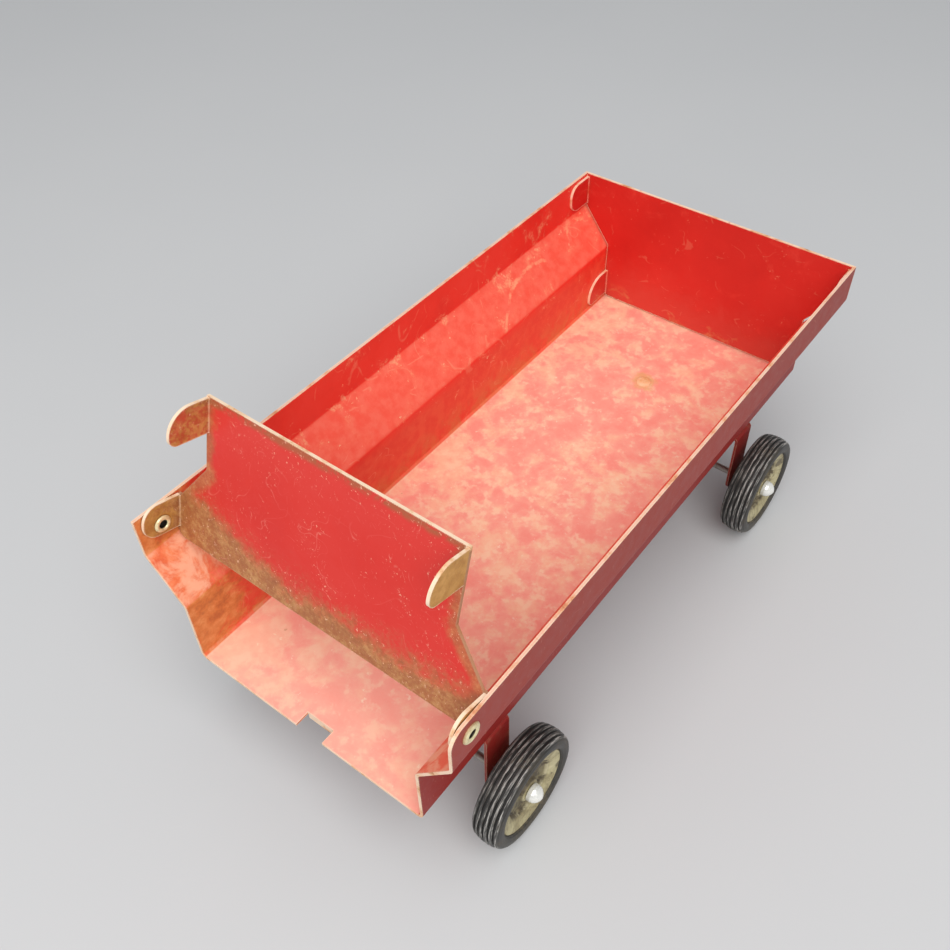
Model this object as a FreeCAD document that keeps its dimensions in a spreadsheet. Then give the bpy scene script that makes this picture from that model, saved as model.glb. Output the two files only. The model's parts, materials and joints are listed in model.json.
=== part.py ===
import FreeCAD, Part
import Sketcher
import math
import os

# Toy farm wagon, pressed steel, about 1/16 scale.
# A bent-sheet box on two axles: the rear axle is fixed, the front axle steers
# about a centre rivet, the tailgate swings on two eyelets and a tongue hangs
# in front.  Frame: +X forward, +Y to the wagon's left, +Z up, z = 0 where the
# wheels stand.  Millimetres.

doc = FreeCAD.newDocument("toy_farm_wagon")

# ---------------------------------------------------------------- dimensions
NUM = {
    "box_length": 220.0,      # side sheets, front to rear
    "top_half": 53.75,        # half width outside the vertical flanges
    "floor_half": 42.35,      # half width outside the lower walls
    "sheet": 0.9,             # sheet thickness
    "rim_height": 94.8,
    "bend_high": 80.8,        # outer corner, slope to flange
    "bend_low": 66.0,         # outer corner, lower wall to slope
    "floor_low": 42.1,        # underside of the floor
    "bend_radius": 2.0,       # inner radius of the slope bends
    "corner_radius": 1.5,     # inner radius of the floor corners
    "rim_round": 5.0,         # rounded rear corner of the right flange
    "notch_deep": 4.8, "notch_left": 3.6, "notch_right": 6.2, "notch_lip": 2.2,
    "pivot_back": 102.8,      # tailgate axis, behind the box centre
    "pivot_up": 89.0,
    "eyelet_hole": 1.6, "eyelet_bore": 1.2, "eyelet_lip": 2.6, "eyelet_flange": 3.05,
    "ear_clear": 0.08,        # running clearance of the ear holes on the eyelets
    "gate_wide": 52.6, "gate_narrow": 41.2, "gate_in": 6.2,
    "gate_above": 7.2, "gate_below": 42.6, "gate_shoulder": 5.2, "gate_waist": 20.2,
    "gate_corner": 3.0, "ear_half": 6.8, "ear_reach": 6.0, "ear_round": 5.6,
    "tab_reach": 6.4, "tab_top": 32.0, "tab_big": 7.0, "tab_small": 2.8,
    "fold_in": 0.5, "fold_out": 1.4,
    "gate_open": 196.0,       # turn from closed to the open rest position, degrees
    "panel_low": 43.6, "panel_ear_low": 80.9, "panel_ear_high": 93.4, "panel_ear_reach": 12.2,
    "panel_tab_high": 55.4, "panel_tab_reach": 12.9,
    "rear_axle_back": 77.1, "front_axle_ahead": 72.0,
    "wheel_radius": 19.15, "wheel_mid": 50.7, "axle_radius": 1.2, "axle_play": 0.05,
    "axle_half": 55.8,
    "bolster_half_width": 42.2, "bolster_half_length": 5.4, "bolster_low": 14.2,
    "bolster_round": 4.7, "turntable_radius": 9.0, "hanger_ahead": 10.0, "bolster_fold_out": 1.6, "bolster_fold_in": 0.7,
    "washer_thick": 0.9, "turn_gap": 0.15, "king_radius": 1.8, "king_play": 0.06,
    "king_head": 2.8, "king_head_thick": 0.85, "king_foot": 3.2,
    "washer_radius": 8.4,
    "hanger_half": 6.5, "tongue_pin_ahead": 19.0, "tongue_pin_up": 24.0,
    "pin_radius": 1.3, "pin_play": 0.06, "ear_low": 19.0, "ear_high": 29.0,
    "tongue_half": 4.6, "tongue_reach": 80.0, "tongue_top": 3.0, "tongue_flange": 2.8,
    "tongue_flat": 62.0, "eye_from_end": 6.0, "eye_radius": 2.2,
    "disc_radius": 14.3, "cap_radius": 2.9, "cap_from": 53.95, "cap_to": 58.0,
}
phi = math.atan2(NUM["top_half"] - NUM["floor_half"], NUM["bend_high"] - NUM["bend_low"])
NUM["bend_shift"] = round(NUM["sheet"] * math.tan(phi / 2), 5)

# The tongue droops until its front edge is just above the ground.
up, reach, under = NUM["tongue_pin_up"], NUM["tongue_reach"], NUM["tongue_top"] - NUM["sheet"]
amp = math.hypot(reach, under)
droop = math.asin((up - 0.03) / amp) + math.atan2(under, reach)
NUM["tongue_droop"] = round(math.degrees(droop), 4)
droop = math.radians(NUM["tongue_droop"])
tip = (NUM["front_axle_ahead"] + NUM["tongue_pin_ahead"] + reach * math.cos(droop)
       + NUM["tongue_top"] * math.sin(droop))
# The origin is under the middle of the whole wagon, tongue included.
NUM["frame_shift"] = round((NUM["box_length"] / 2 - tip) / 2, 4)

sheet = doc.addObject("Spreadsheet::Sheet", "Dims")
for row, (key, val) in enumerate(NUM.items(), 1):
    sheet.set("A%d" % row, key)
    sheet.set("B%d" % row, repr(float(val)))
    sheet.setAlias("B%d" % row, key)
doc.recompute()


class Q:
    """A number together with the sheet expression that gives it."""

    def __init__(self, val, text):
        self.v, self.e = float(val), text

    @staticmethod
    def of(a):
        return a if isinstance(a, Q) else Q(a, "(%r)" % float(a))

    def __add__(self, o):
        o = Q.of(o)
        return Q(self.v + o.v, "(%s + %s)" % (self.e, o.e))

    def __sub__(self, o):
        o = Q.of(o)
        return Q(self.v - o.v, "(%s - %s)" % (self.e, o.e))

    def __mul__(self, o):
        o = Q.of(o)
        return Q(self.v * o.v, "(%s * %s)" % (self.e, o.e))

    def __truediv__(self, o):
        o = Q.of(o)
        return Q(self.v / o.v, "(%s / %s)" % (self.e, o.e))

    def __neg__(self):
        return Q(-self.v, "(0 - %s)" % self.e)

    def __radd__(self, o):
        return Q.of(o) + self

    def __rsub__(self, o):
        return Q.of(o) - self

    def __rmul__(self, o):
        return Q.of(o) * self


class Dim:
    def __getattr__(self, key):
        return Q(NUM[key], "Dims." + key)


D = Dim()
t = D.sheet
OUT = []


# ------------------------------------------------------------------- helpers
def new_body(label, x=0.0, y=0.0, z=0.0, rot=None):
    b = doc.addObject("PartDesign::Body", label)
    b.Label = label
    x = Q.of(x) + D.frame_shift
    y, z = Q.of(y), Q.of(z)
    b.Placement = FreeCAD.Placement(FreeCAD.Vector(x.v, y.v, z.v), rot or FreeCAD.Rotation())
    b.setExpression("Placement.Base.x", x.e)
    b.setExpression("Placement.Base.y", y.e)
    b.setExpression("Placement.Base.z", z.e)
    OUT.append(b)
    return b


def new_sketch(body, role, offset, name):
    plane = [f for f in body.Origin.OriginFeatures if f.Role == role][0]
    sk = body.newObject("Sketcher::SketchObject", body.Name + "_" + name)
    sk.AttachmentSupport = [(plane, "")]
    sk.MapMode = "FlatFace"
    offset = Q.of(offset)
    sk.AttachmentOffset = FreeCAD.Placement(FreeCAD.Vector(0, 0, offset.v), FreeCAD.Rotation())
    sk.setExpression("AttachmentOffset.Base.z", offset.e)
    return sk


def pin_point(sk, geo, pos, x, y):
    for kind, q, axis in (("DistanceX", Q.of(x), -2), ("DistanceY", Q.of(y), -1)):
        if abs(q.v) < 1e-9:
            sk.addConstraint(Sketcher.Constraint("PointOnObject", geo, pos, axis))
        else:
            i = sk.addConstraint(Sketcher.Constraint(kind, -1, 1, geo, pos, q.v))
            sk.setExpression("Constraints[%d]" % i, q.e)


def polygon(sk, pts):
    pts = [(Q.of(a), Q.of(b)) for a, b in pts]
    first = sk.GeometryCount
    n = len(pts)
    for i in range(n):
        a, b = pts[i], pts[(i + 1) % n]
        sk.addGeometry(Part.LineSegment(FreeCAD.Vector(a[0].v, a[1].v, 0),
                                        FreeCAD.Vector(b[0].v, b[1].v, 0)), False)
    for i in range(n):
        sk.addConstraint(Sketcher.Constraint("Coincident", first + i, 2, first + (i + 1) % n, 1))
    for i in range(n):
        pin_point(sk, first + i, 1, *pts[i])


def circle(sk, x, y, r):
    x, y, r = Q.of(x), Q.of(y), Q.of(r)
    g = sk.addGeometry(Part.Circle(FreeCAD.Vector(x.v, y.v, 0), FreeCAD.Vector(0, 0, 1), r.v), False)
    pin_point(sk, g, 3, x, y)
    i = sk.addConstraint(Sketcher.Constraint("Radius", g, r.v))
    sk.setExpression("Constraints[%d]" % i, r.e)


PLANE = {"x": "YZ_Plane", "y": "XZ_Plane", "z": "XY_Plane"}


def pad(body, along, low, high, draw, name):
    """Pad between two coordinates along one axis of the body."""
    low, high = Q.of(low), Q.of(high)
    sk = new_sketch(body, PLANE[along], -high if along == "y" else low, name + "_sketch")
    draw(sk)
    p = body.newObject("PartDesign::Pad", body.Name + "_" + name)
    p.Profile = sk
    p.Length = (high - low).v
    p.setExpression("Length", (high - low).e)
    doc.recompute()
    return p


def pocket(body, along, low, high, draw, name):
    """Cut between two coordinates; the pocket runs against the sketch normal."""
    low, high = Q.of(low), Q.of(high)
    before = body.Shape.Volume
    sk = new_sketch(body, PLANE[along], -low if along == "y" else high, name + "_sketch")
    draw(sk)
    p = body.newObject("PartDesign::Pocket", body.Name + "_" + name)
    p.Profile = sk
    p.Length = (high - low).v
    p.setExpression("Length", (high - low).e)
    doc.recompute()
    if body.Shape.Volume > before - 1e-4:
        raise RuntimeError("pocket cut nothing: " + p.Name)
    return p


def revolve(body, pts, name="turned"):
    """Profile of (axial y, radius z) points turned about the body's Y axis."""
    sk = new_sketch(body, "YZ_Plane", 0.0, name + "_sketch")
    polygon(sk, pts)
    r = body.newObject("PartDesign::Revolution", body.Name + "_" + name)
    r.Profile = sk
    r.ReferenceAxis = (sk, ["H_Axis"])
    r.Angle = 360.0
    doc.recompute()
    return r


def box_poly(a0, a1, b0, b1):
    return lambda sk: polygon(sk, [(a0, b0), (a1, b0), (a1, b1), (a0, b1)])


def fillet(body, radius, where, name, tol=0.06):
    """Round the straight edges that pass through given local points.

    where: list of (direction, (x, y, z)); a None coordinate matches any value."""
    doc.recompute()
    base = body.Tip
    inv = body.Placement.inverse()
    names = []
    for k, edge in enumerate(body.Tip.Shape.Edges, 1):
        if len(edge.Vertexes) != 2 or edge.Curve.TypeId != "Part::GeomLine":
            continue
        a, b = edge.Vertexes[0].Point, edge.Vertexes[1].Point
        d = (b - a).normalize()
        for axis, at in where:
            i = "xyz".index(axis)
            if abs(abs(d[i]) - 1) > 1e-3:
                continue
            ok = True
            for j in range(3):
                if j == i or at[j] is None:
                    continue
                if abs(a[j] - Q.of(at[j]).v) > tol:
                    ok = False
            if ok and at[i] is not None:
                q = Q.of(at[i]).v
                ok = min(a[i], b[i]) - tol <= q <= max(a[i], b[i]) + tol
            if ok:
                names.append("Edge%d" % k)
                break
    if len(names) < len(where):
        raise RuntimeError("%s %s: %d edges for %d places" % (body.Name, name, len(names), len(where)))
    f = body.newObject("PartDesign::Fillet", body.Name + "_" + name)
    f.Base = (base, names)
    radius = Q.of(radius)
    f.Radius = radius.v
    f.setExpression("Radius", radius.e)
    doc.recompute()
    return f


# ------------------------------------------------------------------ box body
# One sheet bent up from the floor: vertical lower walls, a slope outward and
# a vertical flange at the rim on each side.
half = D.box_length / 2
Wt, Wb = D.top_half, D.floor_half
zt, zk, zl, zf, bs = D.rim_height, D.bend_high, D.bend_low, D.floor_low, D.bend_shift
box = new_body("box_body")


def box_profile(sk):
    polygon(sk, [(Wt, zt), (Wt, zk), (Wb, zl), (Wb, zf), (-Wb, zf), (-Wb, zl), (-Wt, zk), (-Wt, zt),
                 (t - Wt, zt), (t - Wt, zk + bs), (t - Wb, zl + bs), (t - Wb, zf + t),
                 (Wb - t, zf + t), (Wb - t, zl + bs), (Wt - t, zk + bs), (Wt - t, zt)])


pad(box, "x", -half, half, box_profile, "sheet")
fillet(box, D.corner_radius, [("x", (None, s * (Wb - t), zf + t)) for s in (1, -1)], "floor_corner_in")
fillet(box, D.corner_radius + t, [("x", (None, s * Wb, zf)) for s in (1, -1)], "floor_corner_out")
fillet(box, D.bend_radius, [("x", (None, s * (Wt - t), zk + bs)) for s in (1, -1)]
       + [("x", (None, s * Wb, zl)) for s in (1, -1)], "slope_bend_in")
fillet(box, D.bend_radius + t, [("x", (None, s * Wt, zk)) for s in (1, -1)]
       + [("x", (None, s * (Wb - t), zl + bs)) for s in (1, -1)], "slope_bend_out")
pocket(box, "y", -60, 60, lambda sk: circle(sk, -D.pivot_back, D.pivot_up, D.eyelet_hole), "eyelet_holes")
pocket(box, "z", zf - 1, zf + t + 1, box_poly(-half - 1, D.notch_deep - half, -D.notch_right, D.notch_left), "notch")
pad(box, "x", D.notch_deep - half, D.notch_deep - half + t,
    box_poly(-D.notch_right, D.notch_left, zf - D.notch_lip, zf + t), "notch_lip")
pocket(box, "z", zf - 1, zf + t + 1, lambda sk: circle(sk, D.front_axle_ahead, 0, D.king_radius), "king_hole")
fillet(box, D.rim_round, [("y", (-half, -Wt + t / 2, zt))], "rim_round")

# --------------------------------------------------------------- front panel
# A stamped end plate fixed between the side sheets; its ears and lower tabs
# are folded rearward and lie flat against the walls.
panel = new_body("front_panel")
Wi, Ni = Wt - t, Wb - t
pad(panel, "x", half - t, half, lambda sk: polygon(sk, [
    (Wi, zt), (Wi, zk + 1.4), (Ni, zl + 1.4), (Ni, D.panel_low),
    (-Ni, D.panel_low), (-Ni, zl + 1.4), (-Wi, zk + 1.4), (-Wi, zt)]), "plate")
for s, side in ((1, "left"), (-1, "right")):
    lo, hi = (Wi - t, Wi) if s > 0 else (-Wi, t - Wi)
    pad(panel, "y", lo, hi, box_poly(half - D.panel_ear_reach, half, D.panel_ear_low + 1.6, D.panel_ear_high),
        "ear_" + side)
    lo, hi = (Ni - t, Ni) if s > 0 else (-Ni, t - Ni)
    pad(panel, "y", lo, hi, box_poly(half - D.panel_tab_reach, half, D.panel_low + 1.0, D.panel_tab_high),
        "tab_" + side)
fillet(panel, 4.6, [("y", (half - D.panel_ear_reach, s * (Wi - t / 2), z))
                    for s in (1, -1) for z in (D.panel_ear_low + 1.6, D.panel_ear_high)], "ear_round")
fillet(panel, 8.0, [("y", (half - D.panel_tab_reach, s * (Ni - t / 2), D.panel_tab_high)) for s in (1, -1)],
       "tab_round")
fillet(panel, 2.0, [("y", (half - D.panel_tab_reach, s * (Ni - t / 2), D.panel_low + 1.0)) for s in (1, -1)],
       "tab_round_low")
fillet(panel, 2.2, [("x", (half, s * Ni, D.panel_low)) for s in (1, -1)], "low_corner")
fillet(panel, D.fold_in, [("z", (half - t, s * (Wi - t), 87)) for s in (1, -1)]
       + [("z", (half - t, s * (Ni - t), 50)) for s in (1, -1)], "fold_in")

# ------------------------------------------------------------------ tailgate
# Drawn shut, about its own hinge axis, then turned to the open position.
gate = new_body("tailgate", -D.pivot_back, 0.0, D.pivot_up,
                FreeCAD.Rotation(FreeCAD.Vector(0, 1, 0), NUM["gate_open"]))
gi, go = -D.gate_in, -D.gate_in - t
Gw, Gn = D.gate_wide, D.gate_narrow
pad(gate, "x", go, gi, lambda sk: polygon(sk, [
    (Gw, D.gate_above), (Gw, -D.gate_shoulder), (Gn, -D.gate_waist), (Gn, -D.gate_below),
    (-Gn, -D.gate_below), (-Gn, -D.gate_waist), (-Gw, -D.gate_shoulder), (-Gw, D.gate_above)]), "plate")
for s, side in ((1, "left"), (-1, "right")):
    lo, hi = (Gw - t, Gw) if s > 0 else (-Gw, t - Gw)
    pad(gate, "y", lo, hi, box_poly(go, D.ear_reach, -D.ear_half, 3.8), "ear_" + side)
    lo, hi = (Gn - t, Gn) if s > 0 else (-Gn, t - Gn)
    pad(gate, "y", lo, hi, box_poly(go, D.tab_reach, -D.gate_below + 0.4, -D.tab_top), "tab_" + side)
fillet(gate, 4.9, [("y", (D.ear_reach, s * (Gw - t / 2), z)) for s in (1, -1) for z in (-D.ear_half, 3.8)],
       "ear_round")
fillet(gate, D.gate_corner, [("x", (go, s * Gw, D.gate_above)) for s in (1, -1)], "top_corner")
fillet(gate, D.tab_big, [("y", (D.tab_reach, s * (Gn - t / 2), -D.gate_below + 0.4)) for s in (1, -1)],
       "tab_round")
fillet(gate, D.tab_small, [("y", (D.tab_reach, s * (Gn - t / 2), -D.tab_top)) for s in (1, -1)],
       "tab_round_small")
fillet(gate, D.fold_in, [("z", (gi, s * (Gw - t), -1)) for s in (1, -1)]
       + [("z", (gi, s * (Gn - t), -37)) for s in (1, -1)], "fold_in")
pocket(gate, "y", -60, 60, lambda sk: circle(sk, 0, 0, D.eyelet_hole + D.ear_clear), "pivot_holes")

# ------------------------------------------------------------------- eyelets
# Hollow tubular rivets set in the side flanges; the tailgate ears turn on them.
for s, side in ((1, "left"), (-1, "right")):
    eye = new_body("gate_eyelet_" + side, -D.pivot_back, 0.0, D.pivot_up,
                   FreeCAD.Rotation(FreeCAD.Vector(0, 0, 1), 0 if s > 0 else 180))
    face = Gw - t - 0.2
    revolve(eye, [(Wt + 0.35, D.eyelet_bore + 0.08), (Wt + 0.62, D.eyelet_bore + 0.35),
                  (Wt + 0.74, D.eyelet_bore + 0.75), (Wt + 0.66, D.eyelet_flange - 0.6),
                  (Wt + 0.46, D.eyelet_flange - 0.22), (Wt + 0.2, D.eyelet_flange), (Wt, D.eyelet_flange),
                  (Wt, D.eyelet_hole), (face, D.eyelet_hole), (face, D.eyelet_lip), (face - 0.22, D.eyelet_lip),
                  (face - 0.5, D.eyelet_lip - 0.22), (face - 0.68, D.eyelet_lip - 0.6),
                  (face - 0.6, D.eyelet_bore + 0.35), (face - 0.3, D.eyelet_bore + 0.08),
                  (face + 0.1, D.eyelet_bore), (Wt, D.eyelet_bore)])

# ------------------------------------------------------------------ bolsters
# Inverted U saddles: the rear one is welded under the floor, the front one
# turns on the centre rivet below a washer and carries the tongue hanger.
Bw, Bl = D.bolster_half_width, D.bolster_half_length


def saddle(body, top):
    pad(body, "z", top - t, top, box_poly(-Bl, Bl, -Bw, Bw), "top")
    for s, side in ((1, "left"), (-1, "right")):
        lo, hi = (Bw - t, Bw) if s > 0 else (-Bw, t - Bw)
        pad(body, "y", lo, hi, box_poly(-Bl, Bl, D.bolster_low, top), "leg_" + side)
    fillet(body, D.bolster_round, [("y", (u * Bl, s * (Bw - t / 2), D.bolster_low))
                                   for s in (1, -1) for u in (1, -1)], "leg_round")
    fillet(body, D.bolster_fold_out, [("x", (0, s * Bw, top)) for s in (1, -1)], "fold_out")
    fillet(body, D.bolster_fold_in, [("x", (0, s * (Bw - t), top - t)) for s in (1, -1)], "fold_in")
    pocket(body, "y", -60, 60, lambda sk: circle(sk, 0, D.wheel_radius, D.axle_radius), "axle_holes")


rear = new_body("rear_bolster", -D.rear_axle_back)
saddle(rear, zf)

washer_low = zf - D.washer_thick
front_top = washer_low - D.turn_gap
front = new_body("front_bolster", D.front_axle_ahead)
saddle(front, front_top)
hh, hx = D.hanger_half, D.hanger_ahead
pad(front, "z", front_top - t, front_top, lambda sk: circle(sk, 0, 0, D.turntable_radius), "turntable")
pad(front, "z", front_top - t, front_top, box_poly(0, hx, -hh, hh), "hanger_tab")
pad(front, "x", hx - t, hx, box_poly(-hh, hh, D.ear_low, front_top), "hanger")
for s, side in ((1, "left"), (-1, "right")):
    lo, hi = (hh - t, hh) if s > 0 else (-hh, t - hh)
    pad(front, "y", lo, hi, box_poly(hx - t, D.tongue_pin_ahead + 4.6, D.ear_low, D.ear_high), "hanger_ear_" + side)
fillet(front, 4.2, [("y", (D.tongue_pin_ahead + 4.6, s * (hh - t / 2), z))
                    for s in (1, -1) for z in (D.ear_low, D.ear_high)], "ear_round")
pocket(front, "y", -hh - 1, hh + 1, lambda sk: circle(sk, D.tongue_pin_ahead, D.tongue_pin_up, D.pin_radius),
       "pin_holes")
pocket(front, "z", front_top - t - 1, front_top + 1, lambda sk: circle(sk, 0, 0, D.king_radius + D.king_play),
       "king_hole")

# --------------------------------------------------- centre rivet and washer
washer = new_body("turn_washer", D.front_axle_ahead)


def ring(sk):
    circle(sk, 0, 0, D.washer_radius)
    circle(sk, 0, 0, D.king_radius)


pad(washer, "z", washer_low, zf, ring, "ring")

king = new_body("king_rivet", D.front_axle_ahead)
foot_top = front_top - t - D.turn_gap
hz = zf + t
sk = new_sketch(king, "XZ_Plane", 0.0, "profile")
polygon(sk, [(0.0, foot_top - 1.2), (D.king_foot - 0.5, foot_top - 1.2), (D.king_foot, foot_top - 0.7),
             (D.king_foot, foot_top), (D.king_radius, foot_top), (D.king_radius, hz), (D.king_head, hz),
             (D.king_head - 0.12, hz + 0.28), (D.king_head - 0.5, hz + 0.56), (D.king_head - 1.2, hz + 0.76),
             (0.0, hz + D.king_head_thick)])
turned = king.newObject("PartDesign::Revolution", "king_rivet_turned")
turned.Profile = sk
turned.ReferenceAxis = (sk, ["V_Axis"])
turned.Angle = 360.0
doc.recompute()

# --------------------------------------------------------------------- axles
for name, at in (("rear_axle", -D.rear_axle_back), ("front_axle", D.front_axle_ahead)):
    ax = new_body(name, at, 0.0, D.wheel_radius)
    pad(ax, "y", -D.axle_half, D.axle_half, lambda sk: circle(sk, 0, 0, D.axle_radius), "rod")
    # pinched ears that keep the wheels outboard
    for s, side in ((1, "left"), (-1, "right")):
        lo, hi = (43.2, 44.9) if s > 0 else (-44.9, -43.2)
        pad(ax, "y", lo, hi, box_poly(-0.4, 0.4, -1.75, 1.75), "pinch_" + side)

# -------------------------------------------------------------------- wheels
# Ribbed rubber tyre on a dished steel disc, held on by a bright domed cap.
R, Rd = D.wheel_radius, D.disc_radius
bore = D.axle_radius + D.axle_play


def crown(y):
    """Tread radius at a distance y from the middle: slightly rounded."""
    return R + 0.009 - 0.045 * y * y


def groove(y):
    return [(y + 0.45, crown(y + 0.45)), (y + 0.22, crown(y) - 0.6), (y - 0.22, crown(y) - 0.6),
            (y - 0.45, crown(y - 0.45))]


for end, at in (("rear", -D.rear_axle_back), ("front", D.front_axle_ahead)):
    for s, side in ((1, "left"), (-1, "right")):
        rot = FreeCAD.Rotation(FreeCAD.Vector(0, 0, 1), 0 if s > 0 else 180)
        tag = "%s_%s" % (end, side)
        mid = D.wheel_mid if s > 0 else -D.wheel_mid
        tyre = new_body("tyre_" + tag, at, mid, D.wheel_radius, rot)
        revolve(tyre, [(4.0, Rd + 0.02), (4.6, Rd + 0.45), (4.95, Rd + 1.5), (4.95, R - 2.5), (4.7, R - 1.55),
                       (4.2, R - 0.95)] + groove(3.2) + groove(1.6) + groove(0.0) + groove(-1.6) + groove(-3.2)
                + [(-4.2, R - 0.95), (-4.7, R - 1.55), (-4.95, R - 2.5), (-4.95, Rd + 1.5),
                   (-4.6, Rd + 0.45), (-4.0, Rd + 0.02)])
        disc = new_body("wheel_disc_" + tag, at, mid, D.wheel_radius, rot)
        revolve(disc, [(3.7, Rd), (3.95, Rd - 0.35), (3.85, Rd - 1.0), (3.5, Rd - 2.4), (3.0, Rd - 3.9),
                       (2.4, Rd - 4.7), (1.5, Rd - 5.3), (1.2, Rd - 6.0), (1.3, 5.0), (1.9, 4.2), (2.7, 3.8),
                       (3.0, 3.3), (3.0, bore), (-5.2, bore), (-5.2, 3.0), (0.2, 3.3), (0.3, 6.0),
                       (0.3, Rd - 6.1), (0.7, Rd - 5.1), (1.6, Rd - 4.5), (2.2, Rd - 3.4), (2.8, Rd - 1.0),
                       (-3.4, Rd - 0.9), (-3.4, Rd)])
        cap = new_body("axle_cap_" + tag, at, 0.0, D.wheel_radius, rot)
        cr = D.cap_radius
        revolve(cap, [(D.cap_from, D.axle_radius), (D.cap_from, cr - 0.15), (D.cap_from + 0.25, cr),
                      (D.cap_from + 1.3, cr), (D.cap_from + 2.05, cr - 0.2), (D.cap_from + 2.7, cr - 0.6),
                      (D.cap_from + 3.3, cr - 1.2), (D.cap_from + 3.75, cr - 1.95), (D.cap_to, 0.0),
                      (D.axle_half, 0.0), (D.axle_half, D.axle_radius)])

# -------------------------------------------------------------------- tongue
# A drooping channel: its rear cheeks straddle nothing wider than the hanger
# ears, a pin passes through both, and its flat front end has the hitch eye.
pin_x = D.front_axle_ahead + D.tongue_pin_ahead
tongue = new_body("tongue", pin_x, 0.0, D.tongue_pin_up,
                  FreeCAD.Rotation(FreeCAD.Vector(0, 1, 0), NUM["tongue_droop"]))
th, tt = D.tongue_half, D.tongue_top
pad(tongue, "z", tt - t, tt, box_poly(-3.2, D.tongue_reach, -th, th), "web")
for s, side in ((1, "left"), (-1, "right")):
    lo, hi = (th - t, th) if s > 0 else (-th, t - th)
    pad(tongue, "y", lo, hi, lambda sk: polygon(sk, [
        (-3.2, -D.tongue_flange), (12.0, -D.tongue_flange), (D.tongue_flat, 1.2),
        (D.tongue_flat, tt), (-3.2, tt)]), "cheek_" + side)
fillet(tongue, 2.6, [("y", (-3.2, s * (th - t / 2), -D.tongue_flange)) for s in (1, -1)], "cheek_round")
fillet(tongue, 4.5, [("z", (D.tongue_reach, s * th, tt - t / 2)) for s in (1, -1)], "nose_round")
pocket(tongue, "y", -th - 1, th + 1, lambda sk: circle(sk, 0, 0, D.pin_radius + D.pin_play), "pin_holes")
pocket(tongue, "z", tt - t - 1, tt + 1, lambda sk: circle(sk, D.tongue_reach - D.eye_from_end, 0, D.eye_radius),
       "hitch_eye")

pin = new_body("tongue_pin", pin_x, 0.0, D.tongue_pin_up)
revolve(pin, [(-hh - 0.9, 0.0), (-hh - 0.9, 1.6), (-hh - 0.6, 2.1), (-hh, 2.3), (-hh, D.pin_radius),
              (hh, D.pin_radius), (hh, 2.3), (hh + 0.6, 2.1), (hh + 0.9, 1.6), (hh + 0.9, 0.0)])

# -------------------------------------------------------------- check, write
doc.recompute()
bad = [o.Name for o in doc.Objects if "Invalid" in o.State or "Error" in o.State]
if bad:
    raise RuntimeError("failed objects: %s" % bad)
os.makedirs("parts", exist_ok=True)
labels = [b.Label for b in OUT]
if len(set(labels)) != len(labels):
    raise RuntimeError("labels repeat")
whole = FreeCAD.BoundBox()
for b in OUT:
    shape = b.Shape
    if shape.isNull() or not shape.isValid() or len(shape.Solids) != 1:
        raise RuntimeError("bad shape: %s, %d solids" % (b.Label, len(shape.Solids)))
for b in OUT:
    shape = b.Shape
    shape.exportStep("parts/%s.step" % b.Label)
    whole.add(shape.BoundBox)
    print("%-24s %9.1f mm3" % (b.Label, shape.Volume))
print("nodes", len(OUT), "box", whole)
print("shift %.4f droop %.4f bend %.5f" % (NUM["frame_shift"], NUM["tongue_droop"], NUM["bend_shift"]))
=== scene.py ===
import json
import math
import random

import bmesh
import bpy
from mathutils import Matrix, Vector


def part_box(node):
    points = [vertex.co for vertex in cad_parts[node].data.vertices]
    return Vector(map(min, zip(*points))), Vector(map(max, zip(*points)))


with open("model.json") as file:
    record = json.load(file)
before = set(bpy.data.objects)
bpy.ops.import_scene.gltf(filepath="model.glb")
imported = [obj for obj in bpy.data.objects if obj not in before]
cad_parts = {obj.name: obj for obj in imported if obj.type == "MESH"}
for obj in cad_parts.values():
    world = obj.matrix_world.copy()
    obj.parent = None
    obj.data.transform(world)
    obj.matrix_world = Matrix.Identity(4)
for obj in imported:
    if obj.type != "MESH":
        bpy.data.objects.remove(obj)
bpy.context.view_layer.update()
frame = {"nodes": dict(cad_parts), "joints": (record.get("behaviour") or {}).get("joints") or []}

# ------------------------------------------------------------ frame places
lo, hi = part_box("box_body")
MID = (lo.x + hi.x) / 2          # middle of the cargo box
HALF = (hi.x - lo.x) / 2


def joint(name):
    return [j for j in frame["joints"] if j["name"] == name][0]


PIVOT = Vector(joint("tailgate_hinge")["pos_m"])
KING = Vector(joint("front_steer")["pos_m"])
LEAN = math.radians(16.0)
GATE_UP = Vector((math.sin(LEAN), 0.0, math.cos(LEAN)))


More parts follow.
